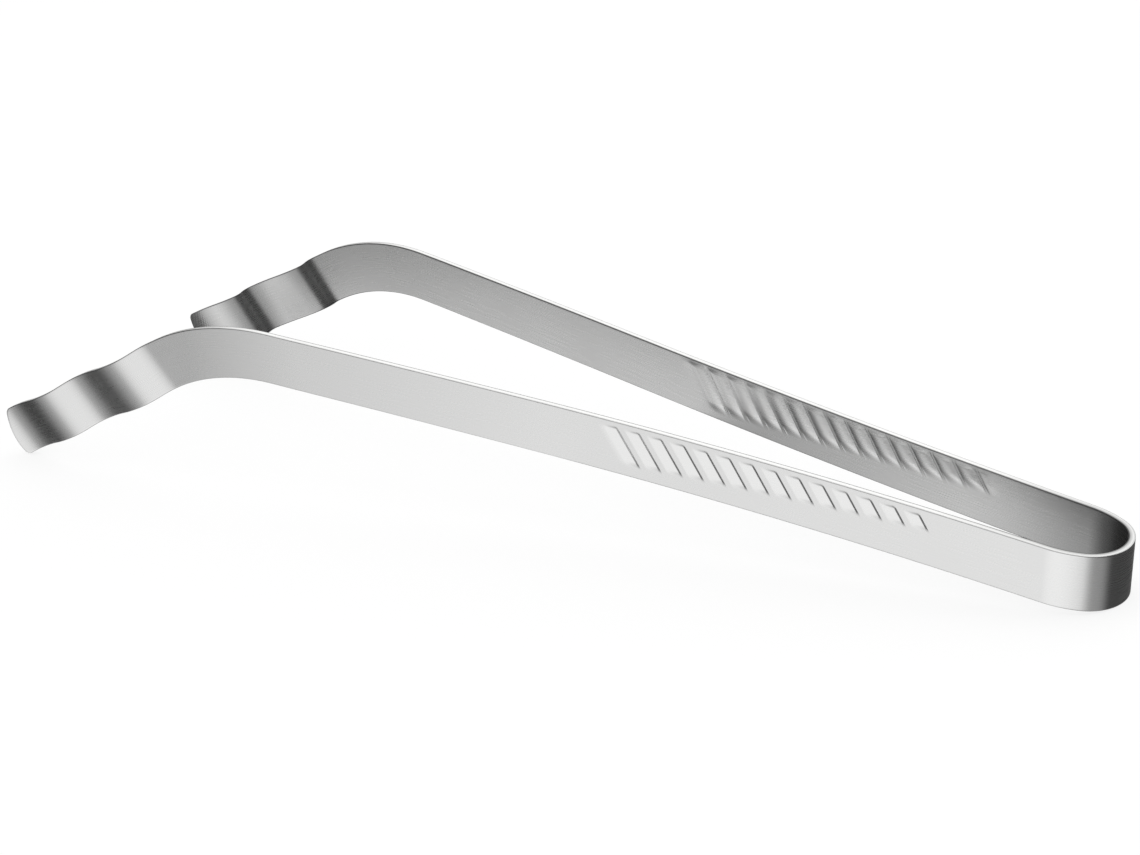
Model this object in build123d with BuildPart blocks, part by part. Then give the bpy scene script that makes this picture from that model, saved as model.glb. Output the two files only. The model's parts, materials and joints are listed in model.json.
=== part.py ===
from build123d import *
from math import asin, atan, cos, degrees, radians, sin, sqrt, tan
import os

# Barbecue tongs, made of one strip of spring steel.
#
# The strip is bent round a bow at one end into two mirror-image arms. Each arm
# flares outwards and carries slanted grooves pressed into its grip. Near its free
# end the strip curves down in its own plane, like a swan's neck, and ends in a
# wavy jaw. The bow is the spring: squeezing the grips turns both arms inwards.
#
# The three zones that move against each other are separate pieces, which meet
# face to face across the strip: spring_bow, left_arm and right_arm. Left and right
# are as the hand sees them that holds the bow with the jaws pointing away.
#
# Millimetres and degrees. The strip is drawn upright, with its width along Z, the
# bow's centre at the origin and the jaws towards -X. At the end the tongs are
# stood on the bow's lower edge and the two jaw tips.

# The strip
strip_width = 13.0
strip_gauge = 1.5
edge_ease = 0.2

# The bow, a tight round bend that opens through a wider shoulder into each arm
bow_inner_radius = 8.1
bow_half_turn = 66.0
shoulder_inner_radius = 20.0
shoulder_turn = 22.0

# The arms seen from above: they flare outwards, run straight and toe in at the neck
flare_length = 123.0
flare_turn = 4.7
toe_length = 35.0
toe_turn = 3.4

# The arms seen from the side: a slight crown, then the neck bends the strip down
arm_length = 196.5
crown_turn = 1.7
neck_inner_radius = 60.0
neck_turn = 31.0

# The wavy jaw: four round crests, the first outwards and the last near the tip
wave_crests = 4
wave_pitch = 31.5
wave_height = 1.4
tip_run = 4.5
tip_end_radius = 14.0
tip_corner_radius = 2.0

# The grip: slanted grooves pressed in from outside, which stand out inside as ridges.
# Each has a steep flank on the bow's side and a floor that ramps up towards the tips.
groove_count = 14
groove_pitch = 5.7
groove_lean = 34.0
groove_width = 2.0
groove_depth = 0.55
groove_flank_lean = 40.0
first_groove = 29.5
ridge_height = 0.7
ridge_flank_lean = 45.0
ridge_crest_shift = 0.8
ridge_end_margin = 0.3
ridge_root = 0.4

# Shares of the strip's width that the grooves take: the edge left above each one,
# and the drop of the first, which is the shortest, and of the last
groove_top_share = 0.105
first_drop_share = 0.27
last_drop_share = 0.68

# Sizes that follow from the ones above
bow_radius = bow_inner_radius + strip_gauge / 2
shoulder_radius = shoulder_inner_radius + strip_gauge / 2
flare_radius = flare_length / radians(flare_turn)
toe_radius = toe_length / radians(toe_turn)
crown_radius = arm_length / radians(crown_turn)
neck_radius = neck_inner_radius + strip_width / 2
jaw_drop = crown_turn + neck_turn
jaw_heading = 90 - bow_half_turn - shoulder_turn + flare_turn - toe_turn
wave_slope = 2 * degrees(atan(4 * wave_height / wave_pitch))
wave_radius = wave_pitch / (4 * sin(radians(wave_slope)))
tip_turn = degrees(asin((tip_run + strip_gauge) / wave_radius))
jaw_length = wave_pitch * wave_crests / 2 + tip_run
drop_step_share = (last_drop_share - first_drop_share) / (groove_count - 1)
groove_low = groove_depth * tan(radians(groove_flank_lean)) - groove_width / 2
ridge_high = ridge_height * groove_width / groove_depth - ridge_crest_shift
ridge_rise = ridge_height - ridge_crest_shift * groove_depth / groove_width
up = Vector(0, 0, 1)

# The arm's middle line seen from the side, from the end of the shoulder to the jaw.
# It starts straight, a gauge past the shoulder, so that the arm meets the bow square,
# and its lead lets the plan outline alone cut the arm's flat end there.
with BuildLine() as side_line:
    lead = Line((-strip_width, 0), (strip_gauge, 0))
    crown = JernArc(lead @ 1, lead % 1, crown_radius, -crown_turn)
    neck = JernArc(crown @ 1, crown % 1, neck_radius, -neck_turn)
neck_end = neck @ 1

# The right half's middle line seen from above, from the bow's apex to the jaw. The
# toe ends a strip's width short of the jaw, so that the jaw starts on a flat stretch.
run_length = neck_end.X - strip_width * sin(radians(jaw_drop)) - toe_length - flare_length
with BuildLine() as bow_line:
    left_shoulder = JernArc(
        (bow_radius * cos(radians(bow_half_turn)), -bow_radius * sin(radians(bow_half_turn))),
        (-sin(radians(bow_half_turn)), -cos(radians(bow_half_turn))),
        shoulder_radius,
        -shoulder_turn,
    )
    bow_arc = CenterArc((0, 0), bow_radius, -bow_half_turn, 2 * bow_half_turn)
    shoulder = JernArc(bow_arc @ 1, bow_arc % 1, shoulder_radius, shoulder_turn)
with BuildLine() as arm_line:
    flare = JernArc(shoulder @ 1, shoulder % 1, flare_radius, -flare_turn)
    run = Line(flare @ 1, (flare @ 1) + (flare % 1) * run_length)
    toe = JernArc(run @ 1, run % 1, toe_radius, toe_turn)
    tail = Line(toe @ 1, (toe @ 1) + (toe % 1) * 2 * strip_width)
grip_path = arm_line.wire()

# The upright plane that holds the jaw's middle line, with its origin abreast of the
# end of the shoulder, X towards the tips and its normal outwards.
heading = Vector(-cos(radians(jaw_heading)), sin(radians(jaw_heading)), 0)
outwards = heading.cross(up)
jaw_reach = (toe @ 1 - shoulder @ 1).dot(heading)
side_plane = Plane(origin=(toe @ 1) - heading * jaw_reach, x_dir=heading, z_dir=outwards)

# The jaw's own directions and planes
jaw_along = heading * cos(radians(jaw_drop)) - up * sin(radians(jaw_drop))
jaw_across = heading * sin(radians(jaw_drop)) + up * cos(radians(jaw_drop))
jaw_start = side_plane.from_local_coords(neck_end)
wave_plane = Plane(
    origin=jaw_start - jaw_across * (strip_width / 2), x_dir=jaw_along, z_dir=jaw_across
)
tip_plane = Plane(origin=jaw_start, x_dir=jaw_along, z_dir=outwards)

# The bow, with its two shoulders
with BuildPart() as spring_bow:
    with BuildSketch(Plane.XY.offset(-strip_width / 2)):
        trace(bow_line.line, line_width=strip_gauge)
    extrude(amount=strip_width)
    rims = spring_bow.faces().filter_by(Axis.Z).edges()
    chamfer(rims.filter_by(GeomType.CIRCLE), length=edge_ease)

# The jaw: a strip that waves in and out, drawn a gauge too long and cut to its rounded tip
with BuildPart() as right_jaw:
    with BuildSketch(wave_plane):
        with BuildLine() as wave_line:
            wave = JernArc((0, 0), (1, 0), wave_radius, -wave_slope)
            for crest in range(wave_crests - 1):
                turn = 2 * wave_slope if crest % 2 == 0 else -2 * wave_slope
                wave = JernArc(wave @ 1, wave % 1, wave_radius, turn)
            last_turn = wave_slope + tip_turn if wave_crests % 2 else -wave_slope - tip_turn
            wave = JernArc(wave @ 1, wave % 1, wave_radius, last_turn)
        trace(wave_line.line, line_width=strip_gauge)
    extrude(amount=strip_width)
    end_corner = jaw_length - tip_end_radius + sqrt(tip_end_radius**2 - (strip_width / 2) ** 2)
    with BuildSketch(tip_plane) as tip_outline:
        with BuildLine():
            lower = Line((0, -strip_width / 2), (end_corner, -strip_width / 2))
            tip_end = ThreePointArc(lower @ 1, (jaw_length, 0), (end_corner, strip_width / 2))
            upper = Line(tip_end @ 1, (0, strip_width / 2))
            Line(upper @ 1, lower @ 0)
        make_face()
        tip_corners = tip_outline.vertices().sort_by(Axis.X)[-2:]
        fillet(tip_corners, radius=tip_corner_radius)
    extrude(amount=strip_width, both=True, mode=Mode.INTERSECT)


def slot_corners(low, high, half_drop):
    """A slanted slot from low to high across the grooves, with its ends along the strip's edges."""
    lean = radians(groove_lean)
    ends = [(high, half_drop), (low, half_drop), (low, -half_drop), (high, -half_drop)]
    return [(side, (end + side * sin(lean)) / cos(lean)) for side, end in ends]


# The arm: the strip seen from above, cut to its outline seen from the side
with BuildPart() as right_arm:
    with BuildSketch() as arm_plan:
        trace(arm_line.line, line_width=strip_gauge)
    extrude(amount=strip_width - neck_end.Y, both=True)
    with BuildSketch(side_plane) as arm_outline:
        trace(side_line.line, line_width=strip_width)
    extrude(amount=arm_length, both=True, mode=Mode.INTERSECT)
    add(right_jaw.part)
    # Every curved edge runs along the strip or round the tip, and is eased
    chamfer(right_arm.edges().filter_by(GeomType.LINE, reverse=True), length=edge_ease)
    for groove in range(groove_count):
        half_drop = strip_width * (first_drop_share + drop_step_share * groove) / 2
        middle = strip_width / 2 - strip_width * groove_top_share - half_drop
        along = first_groove + groove_pitch * groove - half_drop * tan(radians(groove_lean))
        tangent = grip_path.tangent_at(along, PositionMode.LENGTH)
        face_normal = tangent.cross(up)
        lengthways = up * cos(radians(groove_lean)) + tangent * sin(radians(groove_lean))
        crossways = lengthways.cross(face_normal)
        slope_normal = (face_normal * groove_width - crossways * groove_depth).normalized()
        slope_across = lengthways.cross(slope_normal)
        centre = grip_path.position_at(along, PositionMode.LENGTH) + face_normal * (strip_gauge / 2)
        centre += up * ((crown @ ((along - strip_gauge) / arm_length)).Y + middle)
        ridge_top = centre - face_normal * (strip_gauge + ridge_rise)
        with BuildSketch(Plane(origin=ridge_top, x_dir=slope_across, z_dir=slope_normal)):
            ridge_drop = half_drop + ridge_end_margin
            Polygon(*slot_corners(-ridge_crest_shift, ridge_high, ridge_drop), align=None)
        extrude(amount=ridge_height + ridge_root, taper=-ridge_flank_lean)
        floor = centre - face_normal * (groove_depth / 2)
        with BuildSketch(Plane(origin=floor, x_dir=slope_across, z_dir=slope_normal)):
            Polygon(*slot_corners(groove_low, groove_width / 2, half_drop), align=None)
        extrude(amount=2 * groove_depth, taper=-groove_flank_lean, mode=Mode.SUBTRACT)

# The left arm is the right arm's mirror image
with BuildPart() as left_arm:
    mirror(right_arm.part, about=Plane.XZ)

# Stand the tongs on the bow's lower edge and the rounded corners of the two tips,
# with the middle of their outline above the origin.
corner_along = jaw_length - tip_end_radius + sqrt(
    (tip_end_radius - tip_corner_radius) ** 2 - (strip_width / 2 - tip_corner_radius) ** 2
)
tip_corner = tip_plane.from_local_coords((corner_along, tip_corner_radius - strip_width / 2))
bow_edge = Vector(bow_radius + strip_gauge / 2 - edge_ease, 0, -strip_width / 2)
rise = bow_edge - Vector(tip_corner.X, 0, tip_corner.Z)
stance = degrees(atan(rise.Z / rise.X) + asin(tip_corner_radius / rise.length))
tongs = Compound([spring_bow.part, left_arm.part, right_arm.part]).moved(Rot(0, stance, 0))
outline = tongs.bounding_box()
stand = Pos(-outline.center().X, -outline.center().Y, -outline.min.Z) * Rot(0, stance, 0)

os.makedirs("parts", exist_ok=True)
pieces = {"spring_bow": spring_bow, "left_arm": left_arm, "right_arm": right_arm}
for name, piece in pieces.items():
    piece.part.move(stand)
    piece.part.label = name
    export_step(piece.part, f"parts/{name}.step")

# The arms' pivots: the strip's inner face at the end of each shoulder, about the strip's width
pivot = (shoulder @ 1) - (shoulder % 1).cross(up) * (strip_gauge / 2)
print("stance", stance, "outline", outline.size)
print("right pivot", (stand * Pos(*pivot)).position)
print("pivot axis", Vector(sin(radians(stance)), 0, cos(radians(stance))))
print("bow centre", stand.position, "bow edge", (stand * Pos(*bow_edge)).position)
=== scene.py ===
import json
import math

import bpy
import numpy as np
from mathutils import Matrix, Vector


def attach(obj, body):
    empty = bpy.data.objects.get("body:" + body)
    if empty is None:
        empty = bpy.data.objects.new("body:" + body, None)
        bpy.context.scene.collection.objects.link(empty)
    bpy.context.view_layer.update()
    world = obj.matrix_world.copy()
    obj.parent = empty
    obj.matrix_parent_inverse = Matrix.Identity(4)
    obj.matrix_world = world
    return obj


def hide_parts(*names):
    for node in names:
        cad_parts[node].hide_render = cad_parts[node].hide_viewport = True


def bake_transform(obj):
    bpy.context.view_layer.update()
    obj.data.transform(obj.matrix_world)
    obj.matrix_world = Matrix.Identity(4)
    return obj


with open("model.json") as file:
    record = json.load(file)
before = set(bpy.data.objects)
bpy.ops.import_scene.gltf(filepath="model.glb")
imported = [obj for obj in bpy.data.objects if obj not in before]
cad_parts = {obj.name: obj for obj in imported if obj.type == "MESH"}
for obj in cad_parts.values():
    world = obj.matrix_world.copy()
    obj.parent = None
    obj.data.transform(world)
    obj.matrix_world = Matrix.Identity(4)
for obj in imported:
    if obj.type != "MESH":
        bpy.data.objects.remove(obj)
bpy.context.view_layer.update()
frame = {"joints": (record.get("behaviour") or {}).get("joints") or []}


# The spring bow
#
# The middle of one strip of spring steel, bent round a mandrel with its width upright. It is
# the tongs' spring and has no pin or rivet: past its two shoulders the strip runs on as the arms.

mm = 0.001
strip_width = 13.0
strip_gauge = 1.5
edge_ease = 0.2
bow_inner_radius = 8.1
bow_turn = 132.0
shoulder_inner_radius = 20.0
shoulder_turn = 22.0
bow_radius = bow_inner_radius + strip_gauge / 2
shoulder_radius = shoulder_inner_radius + strip_gauge / 2
line_step = 0.02
bow_step = 0.25
across_step = 0.28
ease_steps = 4

hinge = {joint["name"]: joint for joint in frame["joints"]}["right_squeeze"]
seam_x, seam_y, seam_z = (float(c) / mm for c in hinge["pos_m"])
tilt = math.atan2(hinge["axis"][0], hinge["axis"][2])


def bent_line(bends, heading):
    """A flat line that bends evenly over each stretch. The heading runs straight from one
    stretch's end value to the next, and the points are running sums of its cosine and sine."""
    reach = np.cumsum([0.0] + [length for length, turn in bends])
    headings = np.radians(heading + np.cumsum([0.0] + [turn for length, turn in bends]))
    distance = np.linspace(0, reach[-1], int(reach[-1] / line_step) + 2)
    angle = np.interp(distance, reach, headings)
    middle = (angle[1:] + angle[:-1]) / 2
    step = np.diff(distance)
    x = np.concatenate([[0], np.cumsum(step * np.cos(middle))])
    y = np.concatenate([[0], np.cumsum(step * np.sin(middle))])
    return distance, x, y, angle


def arc(radius, turn):
    """A stretch for bent_line: the arc's length, which is radius times the turn, and its turn."""
    return radius * math.radians(abs(turn)), turn


def eased(low, high, value):
    """Smooth step: 0 below low, 1 above high, and 3t^2 - 2t^3 between, t the share of the way."""
    t = np.clip((value - low) / (high - low), 0, 1)
    return t * t * (3 - 2 * t)


def stood_up(points):
    """Points drawn with the strip's width upright, in metres: turned about Y as the hinge's axis
    is, and moved along X and Z so that the drawing's origin comes to the hinge's."""
    x, y, z = points[..., 0], points[..., 1], points[..., 2]
    cosine, sine = math.cos(tilt), math.sin(tilt)
    turned = np.stack([x * cosine + z * sine + seam_x, y, z * cosine - x * sine + seam_z], axis=-1)
    return turned * mm


def edge_offset(margin):
    """Half the strip's thickness at a distance from its outline: a quarter circle of radius
    edge_ease rolls the face over into the rim, and further in it is half the gauge."""
    inside = np.clip(margin, 0, edge_ease)
    return strip_gauge / 2 - edge_ease + np.sqrt(edge_ease**2 - (edge_ease - inside) ** 2)


def rows_across():
    """Places across the strip, closer together where the face rolls over into each rim."""
    roll = edge_ease * (1 - np.cos(np.linspace(0, math.pi / 2, ease_steps + 1)))
    flat = strip_width / 2 - edge_ease
    middle = np.linspace(-flat, flat, int(2 * flat / across_step) + 1)[1:-1]
    return np.concatenate([roll - strip_width / 2, middle, strip_width / 2 - roll[::-1]])


def four_sided_mesh(name, points, faces):
    """A mesh from arrays of its points, in metres, and of its faces' four corners."""
    mesh = bpy.data.meshes.new(name)
    mesh.vertices.add(len(points))
    mesh.vertices.foreach_set("co", points.astype(np.float32).ravel())
    mesh.loops.add(faces.size)
    mesh.loops.foreach_set("vertex_index", faces.astype(np.int32).ravel())
    mesh.polygons.add(len(faces))
    mesh.polygons.foreach_set("loop_start", np.arange(0, faces.size, 4, dtype=np.int32))
    mesh.update(calc_edges=True)
    return mesh


def placed(name, content):
    """A new object in the scene, at the origin, that holds a mesh, a lamp or a camera."""
    item = bpy.data.objects.new(name, content)
    bpy.context.scene.collection.objects.link(item)
    return item


def skin(name, outer, inner, distance, across, materials, marks, mirrored=False, square_end=True):
    """A closed strip from two grids of points, its outer and its inner face. Rims join their
    first and last rows, and a wall closes each end: the last one is rounded unless it is square.
    The pattern map runs along and across, and each mark is an attribute that holds a grid of
    values on the inner face, and 0 outside."""
    stations, rows = across.shape
    points = np.concatenate([outer.reshape(-1, 3), inner.reshape(-1, 3)])
    front = np.arange(stations * rows).reshape(stations, rows)
    back = front + stations * rows
    face_map = np.stack([distance, across], axis=-1)
    back_map = face_map + np.array([0, strip_width + strip_gauge])

    def wall(near, far, near_map, shift):
        """A patch one face wide, from a row of points on the one side to its row on the other."""
        index = np.stack([near, far], axis=-1)
        return index, np.stack([near_map, near_map + shift], axis=1)

    over = np.array([0, strip_gauge])
    beyond = np.array([strip_gauge, 0])
    # Each patch: its points' numbers, its pattern, if it is turned over, its material, if it is rounded
    patches = [
        (front, face_map, False, 0, True),
        (back, back_map, True, 0, True),
        (*wall(front[:, -1], back[:, -1], face_map[:, -1], over), False, 1, True),
        (*wall(front[:, 0], back[:, 0], face_map[:, 0], -over), True, 1, True),
        (*wall(front[0], back[0], face_map[0], -beyond), False, 1, False),
        (*wall(front[-1], back[-1], face_map[-1], beyond), True, 1, not square_end),
    ]
    faces, corners, slots, smooth = [], [], [], []
    for index, pattern, flipped, material, rounded in patches:
        order = [(0, 0), (1, 0), (1, 1), (0, 1)]
        if flipped != mirrored:
            order = order[::-1]
        last = np.array(index.shape) - 1
        cut = [(slice(i, last[0] + i), slice(j, last[1] + j)) for i, j in order]
        faces.append(np.stack([index[c] for c in cut], axis=-1).reshape(-1, 4))
        corners.append(np.stack([pattern[c] for c in cut], axis=-2).reshape(-1, 4, 2))
        slots.append(np.full(len(faces[-1]), material))
        smooth.append(np.full(len(faces[-1]), rounded))
    faces, corners = np.concatenate(faces), np.concatenate(corners)
    mesh = four_sided_mesh(name, points, faces)
    mesh.polygons.foreach_set("use_smooth", np.concatenate(smooth))
    mesh.polygons.foreach_set("material_index", np.concatenate(slots).astype(np.int32))
    pattern_map = mesh.uv_layers.new(name="strip_map")
    pattern_map.data.foreach_set("uv", (corners * mm).astype(np.float32).ravel())
    for material in materials:
        mesh.materials.append(material)
    rim = np.zeros(len(points), bool)
    for station in (0, -1) if square_end else (0,):
        rim[front[station]] = rim[back[station]] = True
    ends = np.zeros(2 * len(mesh.edges), np.int32)
    mesh.edges.foreach_get("vertices", ends)
    sharp = mesh.attributes.new("sharp_edge", "BOOLEAN", "EDGE")
    sharp.data.foreach_set("value", rim[ends.reshape(-1, 2)].all(axis=1))
    for mark, grid in marks.items():
        values = np.concatenate([np.zeros(grid.size), grid.ravel()]).astype(np.float32)
        mesh.attributes.new(mark, "FLOAT", "POINT").data.foreach_set("value", values)
    return placed(name, mesh)


def node_after(tree, kind, links=(), **values):
    """Adds a node to a tree, sets its values, and links or fills in its inputs."""
    node = tree.nodes.new(kind)
    for key, value in values.items():
        setattr(node, key, value)
    for socket, source in dict(links).items():
        if isinstance(source, bpy.types.NodeSocket):
            tree.links.new(source, node.inputs[socket])
        else:
            node.inputs[socket].default_value = source
    return node


def new_group(name, inputs, outputs):
    """An empty node group with named sockets, and the nodes that hold its inputs and outputs."""
    group = bpy.data.node_groups.new(name, "ShaderNodeTree")
    group.interface.new_socket("Map", in_out="INPUT", socket_type="NodeSocketVector")
    for socket in inputs:
        group.interface.new_socket(socket, in_out="INPUT", socket_type="NodeSocketFloat")
    for socket in outputs:
        group.interface.new_socket(socket, in_out="OUTPUT", socket_type="NodeSocketFloat")
    return group, group.nodes.new("NodeGroupInput"), group.nodes.new("NodeGroupOutput")


def streak_group():
    """Brushing streaks: noise stretched along the strip, in the map's metres. Long streaks
    lie under shorter, finer scratches, and a slow cloud varies the tone from place to place."""
    group, put, take = new_group("brushing", ("Streak Length", "Streak Width", "Cloud"), ("Tone", "Grain"))

    def stretched(shorter, finer, detail):
        along = node_after(group, "ShaderNodeMath", {0: shorter, 1: put.outputs["Streak Length"]},
                           operation="DIVIDE")
        over = node_after(group, "ShaderNodeMath", {0: finer, 1: put.outputs["Streak Width"]},
                          operation="DIVIDE")
        scale = node_after(group, "ShaderNodeCombineXYZ", {"X": along.outputs[0], "Y": over.outputs[0]})
        place = node_after(group, "ShaderNodeVectorMath",
                           {0: put.outputs["Map"], 1: scale.outputs[0]}, operation="MULTIPLY")
        noise = node_after(group, "ShaderNodeTexNoise",
                           {"Vector": place.outputs[0], "Scale": 1.0, "Detail": detail},
                           noise_dimensions="2D")
        return noise.outputs["Fac"]

    long_streaks = stretched(1.0, 1.0, streak_detail)
    scratches = stretched(scratch_shorter, scratch_finer, scratch_detail)
    cloud = node_after(group, "ShaderNodeTexNoise",
                       {"Vector": put.outputs["Map"], "Scale": put.outputs["Cloud"],
                        "Detail": cloud_detail}, noise_dimensions="2D")
    grain = node_after(group, "ShaderNodeMix", {"Factor": scratch_share, "A": long_streaks, "B": scratches})
    tone = node_after(group, "ShaderNodeMix", {"Factor": cloud_share, "A": grain.outputs[0],
                                               "B": cloud.outputs["Fac"]})
    group.links.new(tone.outputs[0], take.inputs["Tone"])
    group.links.new(grain.outputs[0], take.inputs["Grain"])
    return group


def edge_shade_group():
    """A mask for painted shade along the strip's four long edges, where a face rolls over into a rim.
    The map's lap round the strip is wrapped to one width and gauge, and the mask is 1 at half a width."""
    group, put, take = new_group("outline", (), ("Line",))
    place = node_after(group, "ShaderNodeSeparateXYZ", {0: put.outputs["Map"]})
    half_lap = (strip_width + strip_gauge) / 2 * mm
    wrapped = node_after(group, "ShaderNodeMath", {0: place.outputs["Y"], 1: half_lap, 2: -half_lap},
                         operation="WRAP")
    out = node_after(group, "ShaderNodeMath", {0: wrapped.outputs[0]}, operation="ABSOLUTE")
    past = node_after(group, "ShaderNodeMath", {0: out.outputs[0], 1: strip_width / 2 * mm},
                      operation="SUBTRACT")
    off = node_after(group, "ShaderNodeMath", {0: past.outputs[0]}, operation="ABSOLUTE")
    line = node_after(group, "ShaderNodeMapRange",
                      {"Value": off.outputs[0], "From Min": edge_shade_full * mm, "From Max": edge_shade_end * mm,
                       "To Min": 1.0, "To Max": 0.0}, interpolation_type="SMOOTHSTEP")
    group.links.new(line.outputs[0], take.inputs["Line"])
    return group


def knurl_group():
    """Fine crossed ridges: the higher of two sine waves that run slantwise, 0 to 1."""
    group, put, take = new_group("knurling", (), ("Height",))
    place = node_after(group, "ShaderNodeSeparateXYZ", {0: put.outputs["Map"]})
    radians_per_metre = 2 * math.pi / (knurl_pitch * mm)
    waves = []
    for operation in ("ADD", "SUBTRACT"):
        slant = node_after(group, "ShaderNodeMath", {0: place.outputs["X"], 1: place.outputs["Y"]},
                           operation=operation)
        angle = node_after(group, "ShaderNodeMath", {0: slant.outputs[0], 1: radians_per_metre},
                           operation="MULTIPLY")
        waves.append(node_after(group, "ShaderNodeMath", {0: angle.outputs[0]}, operation="SINE").outputs[0])
    higher = node_after(group, "ShaderNodeMath", {0: waves[0], 1: waves[1]}, operation="MAXIMUM")
    height = node_after(group, "ShaderNodeMapRange", {"Value": higher.outputs[0], "From Min": -1.0})
    group.links.new(height.outputs[0], take.inputs["Height"])
    return group


streak_detail, scratch_detail, cloud_detail = 2.0, 1.0, 1.0
scratch_shorter, scratch_finer = 3.0, 2.6
scratch_share, cloud_share = 0.45, 0.25
# The painted edge shade is full within edge_shade_full of an edge and gone past edge_shade_end, in mm
edge_shade_full, edge_shade_end = 0.1, 0.26
knurl_pitch = 0.9
brushing, outline, knurling = streak_group(), edge_shade_group(), knurl_group()


def steel(name, dark, light, smooth, rough, streak_length, streak_width, grain_height, spread):
    """Bare stainless steel. The streaks' tone runs from the dark to the light colour and from
    smooth to rough, and their grain is a very low bump. Highlights spread across the streaks.
    It is darker in painted shade along the outline, where a face rolls over into a rim, and in
    painted shade inside the bow, and on the jaws' knurls."""
    material = bpy.data.materials.new(name)
    material.use_nodes = True
    tree = material.node_tree
    shader = tree.nodes["Principled BSDF"]
    shader.inputs["Metallic"].default_value = 1.0
    shader.inputs["Anisotropic"].default_value = spread
    shader.inputs["Anisotropic Rotation"].default_value = quarter_turn
    strip_map = node_after(tree, "ShaderNodeUVMap", uv_map="strip_map").outputs[0]
    tangent = node_after(tree, "ShaderNodeTangent", direction_type="UV_MAP", uv_map="strip_map")
    streaks = node_after(tree, "ShaderNodeGroup", node_tree=brushing)
    tree.links.new(strip_map, streaks.inputs["Map"])
    streaks.inputs["Streak Length"].default_value = streak_length
    streaks.inputs["Streak Width"].default_value = streak_width
    streaks.inputs["Cloud"].default_value = cloud_scale
    colour = node_after(tree, "ShaderNodeMix", {"Factor": streaks.outputs["Tone"]}, data_type="RGBA")
    colour.inputs["A"].default_value = (*dark, 1.0)
    colour.inputs["B"].default_value = (*light, 1.0)
    # Painted shade along the outline, full on the inner face and weaker on the outer face
    line = node_after(tree, "ShaderNodeGroup", {"Map": strip_map}, node_tree=outline)
    inside = node_after(tree, "ShaderNodeAttribute", attribute_name="inside")
    weight = node_after(tree, "ShaderNodeMapRange", {"Value": inside.outputs["Fac"], "To Min": outer_edge_shade})
    line = node_after(tree, "ShaderNodeMath", {0: line.outputs["Line"], 1: weight.outputs[0]},
                      operation="MULTIPLY")
    # Painted shade inside the bow
    painted_bow_shade = node_after(tree, "ShaderNodeAttribute", attribute_name="painted_bow_shade")
    knurled = node_after(tree, "ShaderNodeAttribute", attribute_name="knurled")
    knurls = node_after(tree, "ShaderNodeGroup", {"Map": strip_map}, node_tree=knurling)
    shaded = colour.outputs["Result"]
    for mask, left in ((line.outputs[0], edge_shade_share), (painted_bow_shade.outputs["Fac"], bow_shade_share),
                       (knurled.outputs["Fac"], knurled_share)):
        shade = node_after(tree, "ShaderNodeMix", {"Factor": mask}, data_type="RGBA", blend_type="MULTIPLY")
        shade.inputs["B"].default_value = (left, left, left, 1.0)
        tree.links.new(shaded, shade.inputs["A"])
        shaded = shade.outputs["Result"]
    finish = node_after(tree, "ShaderNodeMapRange",
                        {"Value": streaks.outputs["Tone"], "From Min": tone_low, "From Max": tone_high,
                         "To Min": smooth, "To Max": rough})
    bump = node_after(tree, "ShaderNodeBump",
                      {"Height": streaks.outputs["Grain"], "Distance": grain_height, "Strength": 1.0})
    crossed = node_after(tree, "ShaderNodeBump",
                         {"Height": knurls.outputs["Height"], "Distance": knurl_height * mm,
                          "Strength": knurled.outputs["Fac"], "Normal": bump.outputs[0]})
    tree.links.new(shaded, shader.inputs["Base Color"])
    tree.links.new(finish.outputs[0], shader.inputs["Roughness"])
    tree.links.new(crossed.outputs[0], shader.inputs["Normal"])
    tree.links.new(tangent.outputs[0], shader.inputs["Tangent"])
    return material


quarter_turn = 0.25
cloud_scale = 60.0
tone_low, tone_high = 0.3, 0.7
# How far the painted edge shade, the painted shade inside the bow and the knurls darken the steel
edge_shade_share, bow_shade_share, knurled_share = 0.25, 0.35, 0.5
# The share of the painted edge shade that the outer face keeps
outer_edge_shade = 0.4
knurl_height = 0.25
brushed_face = steel("brushed_face", dark=(0.70, 0.70, 0.697), light=(0.86, 0.86, 0.855), smooth=0.24,
                     rough=0.34, streak_length=14 * mm, streak_width=0.22 * mm,
                     grain_height=0.003 * mm, spread=0.7)
sheared_edge = steel("sheared_edge", dark=(0.74, 0.74, 0.735), light=(0.9, 0.9, 0.89), smooth=0.3,
                     rough=0.42, streak_length=5 * mm, streak_width=0.3 * mm,
                     grain_height=0.006 * mm, spread=0.3)

across = rows_across()
seam_heading = 90.0 - bow_turn / 2 - shoulder_turn
bends = [arc(shoulder_radius, shoulder_turn), arc(bow_radius, bow_turn),
         arc(shoulder_radius, shoulder_turn)]
line_distance, line_x, line_y, line_angle = bent_line(bends, seam_heading)
bow_length = line_distance[-1]
distance = np.linspace(0, bow_length, int(bow_length / bow_step) + 1)
angle = np.interp(distance, line_distance, line_angle)
bow_outwards = np.stack([np.sin(angle), -np.cos(angle), np.zeros_like(angle)], axis=-1)
# The middle of the strip's gauge at the seam, from the hinge, which is on the strip's inner face
seam_lean = math.radians(seam_heading)
seam_middle = np.array([math.sin(seam_lean), math.cos(seam_lean), 0]) * (strip_gauge / 2)
seam_middle[1] += seam_y
bow_middle = np.stack([np.interp(distance, line_distance, line_x) + seam_middle[0],
                       np.interp(distance, line_distance, line_y) - seam_middle[1],
                       np.zeros_like(angle)], axis=-1)
half_gauge = edge_offset(strip_width / 2 - np.abs(across))
upright = across[None, :, None] * np.array([0, 0, 1.0])
# Painted shade inside the bow: full near its apex, fading out along the arms' inner faces, in mm from the
# apex
bow_shade_start, bow_shade_end = 8.0, 52.0


def bow_shade_mark(from_apex, across_grid):
    """Painted shade inside the bow: 1 up to bow_shade_start from the bow's apex, falling to 0 at
    bow_shade_end.
    """
    return (1 - eased(bow_shade_start, bow_shade_end, from_apex)) * np.ones_like(across_grid)


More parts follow.
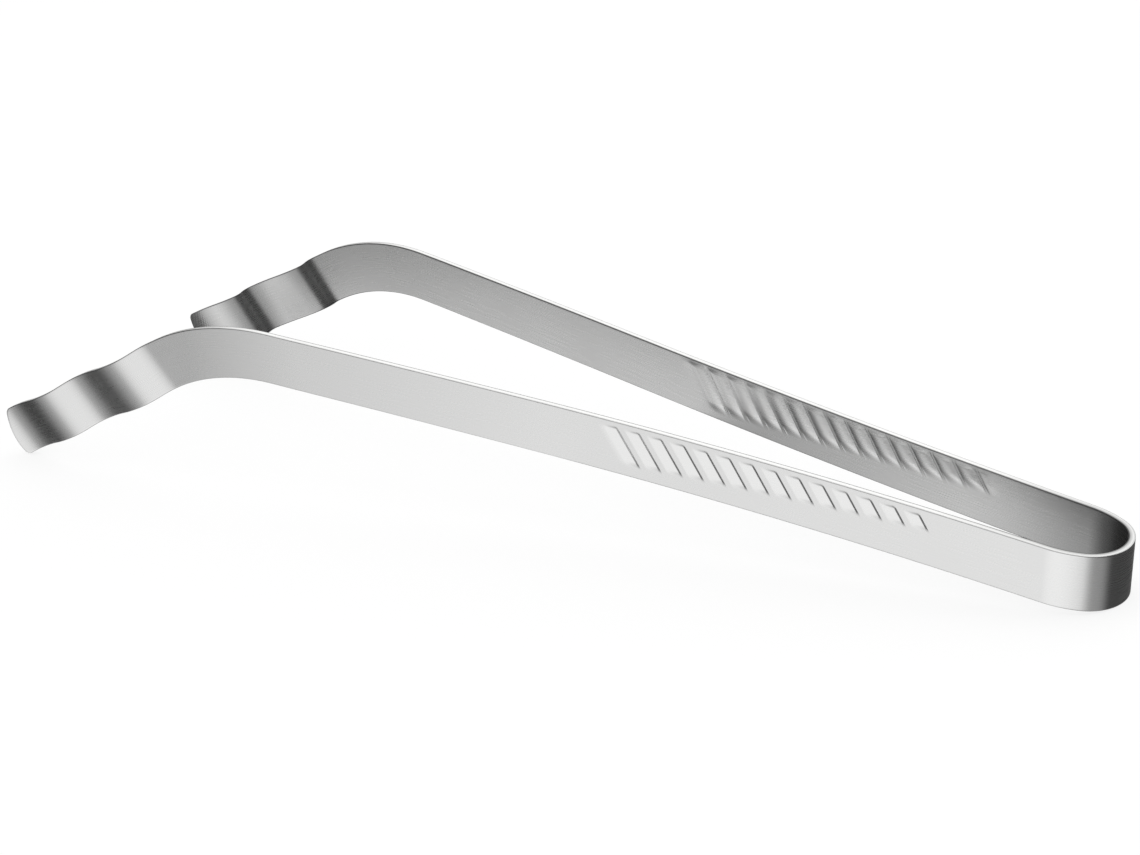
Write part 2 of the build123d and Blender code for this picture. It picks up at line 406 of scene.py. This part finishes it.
grid = bow_middle[:, None, :] + upright
thick = bow_outwards[:, None, :] * half_gauge[None, :, None]
# The bow's inner face carries the painted shade inside the bow
bow_skin = skin("bow_skin", stood_up(grid + thick), stood_up(grid - thick),
                np.repeat(distance[:, None], len(across), axis=1),
                np.repeat(across[None, :], len(distance), axis=0), [brushed_face, sheared_edge],
                {"painted_bow_shade": bow_shade_mark(np.abs(distance - bow_length / 2)[:, None], across[None, :]),
                 "inside": np.ones((len(distance), len(across)))})
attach(bow_skin, "spring_bow")
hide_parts("spring_bow")


# The two arms
#
# Each arm is the same strip: it flares out with fourteen slanted grooves pressed into its
# grip, bends down on edge like a swan's neck and ends in a wavy jaw with a rounded tip.

flare_length, flare_turn = 123.0, 4.7
toe_length, toe_turn = 35.0, 3.4
arm_length, crown_turn = 196.5, 1.7
neck_inner_radius, neck_turn = 60.0, 31.0
neck_radius = neck_inner_radius + strip_width / 2
# Each flank of the wave by its length along the strip and its steepest slope, outwards or inwards
wave_flanks = [(13.0, 20.4), (18.5, -14.2), (12.8, 20.4), (17.2, -14.2), (12.8, 20.4)]
wave_skew, wave_lift = 0.22, 0.27
jaw_length = 67.29
tip_end_radius, tip_corner_radius = 14.0, 2.0
tip_stretch = 9.0

groove_count, groove_pitch, groove_lean = 14, 5.7, math.radians(34.0)
first_groove = 29.5
groove_top_share, first_drop_share, last_drop_share = 0.105, 0.27, 0.68
groove_top = strip_width * (0.5 - groove_top_share)
first_drop, last_drop = strip_width * first_drop_share, strip_width * last_drop_share
groove_depth = 0.28
wall_start, wall_end, ramp_end = -0.98, -0.33, 2.3
groove_top_fade, groove_foot_fade = (-0.5, 0.1), (-0.2, 1.0)
ridge_shift = 2.3
# A crease's length, and each of its steps by its start, end and depth
crease_run, crease_steps = 1.0, [(0.0, 0.3, 0.15), (0.7, 1.0, 0.12)]
ridge_bulge, ridge_swell, swell_run = 1.0, 0.25, 1.5
ridge_top_fade, ridge_foot_fade = (0.1, 1.1), (-1.2, 1.6)
shear_start, shear_full, shear_last, shear_end = 6.0, 26.0, 107.0, 125.0


def square_to_grooves(distance, across):
    """Distance from the first groove, measured square to the slanted grooves."""
    return (distance - first_groove + (groove_top - across) * math.tan(groove_lean)) * math.cos(groove_lean)


def faded(height, number, across, top_fade, foot_fade):
    """Fades a height out past the grooves' common top, and past the foot of each. A groove drops
    from the top by a length that grows evenly from the first groove to the last."""
    foot = groove_top - first_drop - (last_drop - first_drop) * number / (groove_count - 1)
    above = eased(groove_top + top_fade[0], groove_top + top_fade[1], across)
    return height * (1 - above) * eased(foot + foot_fade[0], foot + foot_fade[1], across)


def groove_depths(distance, across):
    """Depth pressed in outside. Seen square to it, a groove is a straight wall on the bow's side
    and a long straight ramp that rises towards the tips."""
    pitch = groove_pitch * math.cos(groove_lean)
    place = square_to_grooves(distance, across)
    number = np.clip(np.round(place / pitch), 0, groove_count - 1)
    place = place - number * pitch
    wall = np.clip((place - wall_start) / (wall_end - wall_start), 0, 1)
    ramp = 1 - np.clip((place - wall_end) / (ramp_end - wall_end), 0, 1)
    return faded(groove_depth * wall * ramp, number, across, groove_top_fade, groove_foot_fade)


def ridge_heights(distance, across):
    """Height raised inside. A ridge falls in two small steps, which are a double crease, and
    bulges as a parabola up to the next crease. The swell lifts them all a little."""
    pitch = groove_pitch * math.cos(groove_lean)
    place = square_to_grooves(distance, across) + ridge_shift
    number = np.clip(np.floor(place / pitch), 0, groove_count - 1)
    place = place - number * pitch
    share = np.clip((place - crease_run) / (pitch - crease_run), 0, 1)
    crease = sum(depth * np.clip((place - start) / (end - start), 0, 1)
                 for start, end, depth in crease_steps)
    full = sum(depth for start, end, depth in crease_steps)
    swell = ridge_swell * eased(-swell_run, 0, place) * (1 - eased(pitch, pitch + swell_run, place))
    ridge = swell - crease + ridge_bulge * share * (1 - share) + full * share
    return faded(ridge, number, across, ridge_top_fade, ridge_foot_fade)


# The centres of the tip's end arc and of its corners' circles, from the jaw's start and middle
tip_centre = jaw_length - tip_end_radius
corner_out = strip_width / 2 - tip_corner_radius
corner_along = tip_centre + math.sqrt((tip_end_radius - tip_corner_radius) ** 2 - corner_out**2)


def tip_end(across):
    """How far the jaw reaches at each place across it: the wide end arc, and a small circle at
    each corner, tangent to it and to the edge."""
    out = np.abs(across)
    joint = tip_end_radius * corner_out / (tip_end_radius - tip_corner_radius)
    end = tip_centre + np.sqrt(tip_end_radius**2 - np.minimum(out, joint) ** 2)
    beyond = np.clip(out - corner_out, 0, tip_corner_radius)
    return np.where(out > joint, corner_along + np.sqrt(tip_corner_radius**2 - beyond**2), end)


def tip_margin(along, across):
    """Distance from a place on the jaw to its outline: the least of that to the edge and that
    to the end arc, or in a corner's sector that to the corner's circle."""
    out = np.abs(across)
    to_end = tip_end_radius - np.hypot(np.maximum(along - tip_centre, 0), across)
    margin = np.minimum(strip_width / 2 - out, to_end)
    lean = corner_out / (corner_along - tip_centre)
    sector = (along > corner_along) & (out - corner_out > (along - corner_along) * lean)
    rounded = tip_corner_radius - np.hypot(along - corner_along, out - corner_out)
    return np.where(sector, rounded, margin)


wall_first, wall_last, wall_stations = -2.34, -0.2, 24
ramp_last, ramp_stations = 2.25, 11
shoulder_gap, shoulder_step = 1.0, 1.5
run_gap, run_step = 1.5, 2.0
neck_stations, jaw_stations, tip_stations, tip_last_share = 36, 72, 14, 0.08


def arm_stations():
    """Distances along the arm: close together where the grooves' walls are, wider on their ramps
    and widest on the plain stretches before and after the grooves."""
    profile = np.concatenate([np.linspace(wall_first, wall_last, wall_stations, endpoint=False),
                              np.linspace(wall_last, ramp_last, ramp_stations)])
    grooves = first_groove + groove_pitch * np.arange(groove_count)[:, None]
    grooves = (grooves + profile[None, :] / math.cos(groove_lean)).ravel()
    before = np.arange(0, grooves[0] - shoulder_gap, shoulder_step)
    after = np.arange(grooves[-1] + run_gap, arm_length, run_step)
    return np.concatenate([before, grooves, after])


side_bends = [(strip_gauge, 0.0), (arm_length, -crown_turn), arc(neck_radius, -neck_turn)]
side_distance, side_x, side_y, side_angle = bent_line(side_bends, 0.0)
side_length = side_distance[-1]
neck_reach, neck_height, jaw_drop = side_x[-1], side_y[-1], -side_angle[-1]
run_length = neck_reach - strip_width * math.sin(jaw_drop) - toe_length - flare_length
plan_bends = [(flare_length, -flare_turn), (run_length, 0.0), (toe_length, toe_turn), (arm_length, 0.0)]
plan_distance, plan_x, plan_y, plan_angle = bent_line(plan_bends, 180.0 - seam_heading)
jaw_heading = plan_angle[-1]
reach = plan_x * math.cos(jaw_heading) + plan_y * math.sin(jaw_heading)

wave_bends = [(length / 2, turn) for length, peak in wave_flanks for turn in (peak, -peak)]
wave_distance, wave_x, wave_y, wave_slope = bent_line(wave_bends, 0.0)

# The strip from the seam to the end of the neck: the plan line gives the place and the
# direction outwards, and the side line the height and the lean. Over the grip the stations
# slant as the grooves do, so that no groove's wall crosses one.
arm_marks = arm_stations()
shear = eased(shear_start, shear_full, arm_marks) * (1 - eased(shear_last, shear_end, arm_marks))
level = np.interp(arm_marks, plan_distance, reach)
level = np.concatenate([level, np.linspace(arm_length, side_length, neck_stations)[1:]])
shear = np.concatenate([shear, np.zeros(len(level) - len(shear))])
across_grid = np.repeat(across[None, :], len(level), axis=0)
side_place = level[:, None] - (groove_top - across_grid) * math.tan(groove_lean) * shear[:, None]
lean = np.interp(side_place, side_distance, side_angle)
arm_reach = np.interp(side_place, side_distance, side_x) - across_grid * np.sin(lean)
height = np.interp(side_place, side_distance, side_y) + across_grid * np.cos(lean)
plan_place = np.interp(arm_reach, reach, plan_distance)
heading = np.interp(plan_place, plan_distance, plan_angle)
arm_points = np.stack([np.interp(plan_place, plan_distance, plan_x),
                       np.interp(plan_place, plan_distance, plan_y), height], axis=-1)
arm_outwards = np.stack([np.sin(heading), -np.cos(heading), np.zeros_like(heading)], axis=-1)
arm_half = edge_offset(strip_width / 2 - np.abs(across_grid))
arm_front = arm_half - groove_depths(plan_place, across_grid)
arm_back = arm_half + ridge_heights(plan_place, across_grid)

# The jaw: a flat strip in the plane that the neck leads to, waved in and out. The last stretch
# is shared out between its start and the rounded end, closer together where the face rolls over.
tip_start = jaw_length - tip_stretch
jaw_marks = np.linspace(0, tip_start, jaw_stations)[1:]
roll = edge_ease / tip_stretch * (1 - np.cos(np.linspace(math.pi / 2, 0, ease_steps + 1)))
tip_share = 1 - np.concatenate([np.linspace(1, tip_last_share, tip_stations), roll])[1:]
jaw_across = np.repeat(across[None, :], len(jaw_marks) + len(tip_share), axis=0)
jaw_along = np.concatenate([np.repeat(jaw_marks[:, None], len(across), axis=1),
                            tip_start + tip_share[:, None] * (tip_end(across)[None, :] - tip_start)])
# The wave's flanks lean across the jaw, and with each bulge the jaw shifts a little in its own plane
wave_place = jaw_along - wave_skew * (jaw_across + strip_width / 2)
bulge = np.interp(wave_place, wave_x, wave_y)
slope = np.interp(wave_place, wave_x, wave_slope)
lift = wave_lift * (np.interp(jaw_length, wave_x, wave_y) * jaw_along / jaw_length - bulge)
forward = np.array([math.cos(jaw_heading), math.sin(jaw_heading), 0])
outward = np.array([math.sin(jaw_heading), -math.cos(jaw_heading), 0])
upward = np.array([0, 0, 1.0])
down_jaw = forward * math.cos(jaw_drop) - upward * math.sin(jaw_drop)
up_jaw = forward * math.sin(jaw_drop) + upward * math.cos(jaw_drop)
neck_place = np.interp(neck_reach, reach, plan_distance)
jaw_start = np.array([np.interp(neck_place, plan_distance, plan_x),
                      np.interp(neck_place, plan_distance, plan_y), neck_height])
jaw_points = (jaw_start + jaw_along[..., None] * down_jaw + (jaw_across + lift)[..., None] * up_jaw
              + bulge[..., None] * outward)
jaw_outwards = np.cos(slope)[..., None] * outward - np.sin(slope)[..., None] * down_jaw
jaw_half = edge_offset(tip_margin(jaw_along, jaw_across))

points = np.concatenate([arm_points, jaw_points])
outwards = np.concatenate([arm_outwards, jaw_outwards])
front = np.concatenate([arm_front, jaw_half])[..., None]
back = np.concatenate([arm_back, jaw_half])[..., None]
arm_distance = np.concatenate([side_place, side_length + np.interp(jaw_along, wave_x, wave_distance)])
arm_across = np.concatenate([across_grid, jaw_across])
outer = points + outwards * front + seam_middle
inner = points - outwards * back + seam_middle
knurl_run, knurl_lean = 10.0, 0.2
tip_distance = arm_distance[-1].max()
# The arms' inner faces carry painted shade near the bow, the knurls and the full painted edge shade
arm_marks_inside = {
    "painted_bow_shade": bow_shade_mark(arm_distance + bow_length / 2, arm_across),
    "knurled": eased(tip_distance - knurl_run, tip_distance - knurl_run / 2,
                     arm_distance - knurl_lean * arm_across),
    "inside": np.ones_like(arm_distance),
}

for name, side in (("right_arm", 1), ("left_arm", -1)):
    flip = np.array([1, side, 1])
    map_distance = arm_distance + bow_length if side > 0 else -arm_distance
    arm_skin = skin(f"{name}_skin", stood_up(outer * flip), stood_up(inner * flip),
                    map_distance, arm_across, [brushed_face, sheared_edge], arm_marks_inside,
                    mirrored=side < 0, square_end=False)
    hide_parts(name)
    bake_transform(arm_skin)


# The table and the light
#
# The tongs lie on a white table in a white room. The steel doesn't mirror these: it shows
# large soft boxes before, behind and above it, with dark room between, and one lit sheet.

floor_half, floor_drop = 3000.0, 0.1
matte_share, matte_tone = 0.2, 0.95


def self_lit(name, strength, matte_share=0.0):
    """White that glows evenly, with a share of plain matte white, which shows shadows."""
    material = bpy.data.materials.new(name)
    material.use_nodes = True
    tree = material.node_tree
    tree.nodes.remove(tree.nodes["Principled BSDF"])
    surface = node_after(tree, "ShaderNodeEmission", {"Strength": strength}).outputs[0]
    if matte_share:
        matte = node_after(tree, "ShaderNodeBsdfDiffuse",
                           {"Color": (matte_tone, matte_tone, matte_tone, 1.0)})
        surface = node_after(tree, "ShaderNodeMixShader",
                             {0: matte_share, 1: surface, 2: matte.outputs[0]}).outputs[0]
    tree.links.new(surface, tree.nodes["Material Output"].inputs["Surface"])
    return material


def level_sheet(name, low, high, height, material):
    """A level four-sided sheet between two corners, all in millimetres."""
    corners = np.array([[low[0], low[1], height], [high[0], low[1], height],
                        [high[0], high[1], height], [low[0], high[1], height]])
    sheet = placed(name, four_sided_mesh(name, corners * mm, np.array([[0, 1, 2, 3]])))
    sheet.data.materials.append(material)
    return sheet


table = level_sheet("table", (-floor_half, -floor_half), (floor_half, floor_half), -floor_drop,
                    self_lit("table_white", 1.0, matte_share))
table.visible_glossy = False

# The table's lit part between the arms, which the rear arm's inner face mirrors
lit_low, lit_high, lit_strength = (-150.0, -35.0), (10.0, 5.0), 0.8
lit_part = level_sheet("lit_table", lit_low, lit_high, -2 * floor_drop, self_lit("lit_white", lit_strength))
lit_part.visible_camera = lit_part.visible_diffuse = lit_part.visible_shadow = False

room = bpy.data.worlds.new("room")
bpy.context.scene.world = room
room.use_nodes = True
tree = room.node_tree
backdrop = tree.nodes["Background"]
facing = node_after(tree, "ShaderNodeTexCoord").outputs["Generated"]


def direction(turn, rise):
    """A direction by its turn in degrees, 0 towards the front arm and 90 towards the bow, and by
    its rise above the table."""
    turn, rise = math.radians(turn), math.radians(rise)
    return math.sin(turn) * math.cos(rise), -math.cos(turn) * math.cos(rise), math.sin(rise)


# Each soft box by the turn and rise of its middle, the half angles at which it is full and at
# which it has faded out, and its strength
soft_boxes = [(-6.6, -9.7, 4.0, 54.0, 0.86), (-57.0, -13.0, 2.0, 9.5, 0.35),
              (-45.0, -50.0, 8.0, 28.0, 0.27), (-125.0, -16.0, 5.0, 24.0, 0.6),
              (17.0, -45.0, 32.0, 56.0, 0.3), (-150.0, 45.0, 20.0, 50.0, 1.15),
              (150.0, 30.0, 10.0, 38.0, 0.9), (178.0, 0.0, 8.0, 28.0, 0.5),
              (0.0, 85.0, 20.0, 45.0, 0.9)]
room_dark = 0.05
total = room_dark
for turn, rise, full_angle, faded_angle, strength in soft_boxes:
    near = node_after(tree, "ShaderNodeVectorMath", {0: facing, 1: direction(turn, rise)},
                      operation="DOT_PRODUCT")
    lit = node_after(tree, "ShaderNodeMapRange",
                     {"Value": near.outputs["Value"], "From Min": math.cos(math.radians(faded_angle)),
                      "From Max": math.cos(math.radians(full_angle)), "To Min": 0.0, "To Max": strength},
                     interpolation_type="SMOOTHSTEP")
    total = node_after(tree, "ShaderNodeMath", {0: total, 1: lit.outputs[0]}, operation="ADD").outputs[0]
path = node_after(tree, "ShaderNodeLightPath")
mix = node_after(tree, "ShaderNodeMix", {"Factor": path.outputs["Is Glossy Ray"], "A": 1.0, "B": total})
tree.links.new(mix.outputs[0], backdrop.inputs["Strength"])
backdrop.inputs["Color"].default_value = (1, 1, 1, 1)

lamp = bpy.data.lights.new("overhead", "AREA")
lamp.energy, lamp.size = 2.0, 1.2
overhead = placed("overhead", lamp)
overhead.location = (0.1, 0.1, 1.1)
overhead.visible_glossy = False


# The camera
#
# It stands on the front arm's side, nearly half way round to the bow, and looks down on the
# tongs through a long lens. It is rolled a little.

camera_turn, camera_rise, camera_roll = 41.5859, 23.0446, math.radians(-8.9531)
camera_aim = Vector((24.104, -16.067, 26.151)) * mm
camera_distance = 606.5 * mm
lens_length, sensor_width = 85.2204, 36.0
nearest, furthest = 0.01, 100.0
back_axis = Vector(direction(camera_turn, camera_rise))
level_axis = Vector((math.cos(math.radians(camera_turn)), math.sin(math.radians(camera_turn)), 0))
upper_axis = back_axis.cross(level_axis)
right_axis = level_axis * math.cos(camera_roll) + upper_axis * math.sin(camera_roll)
top_axis = upper_axis * math.cos(camera_roll) - level_axis * math.sin(camera_roll)
lens = bpy.data.cameras.new("camera")
lens.lens, lens.sensor_width = lens_length, sensor_width
lens.clip_start, lens.clip_end = nearest, furthest
camera = placed("camera", lens)
camera.matrix_world = Matrix.Translation(camera_aim + back_axis * camera_distance) @ Matrix(
    (right_axis, top_axis, back_axis)).transposed().to_4x4()
bpy.context.scene.camera = camera
bpy.context.scene.view_settings.view_transform = "Standard"
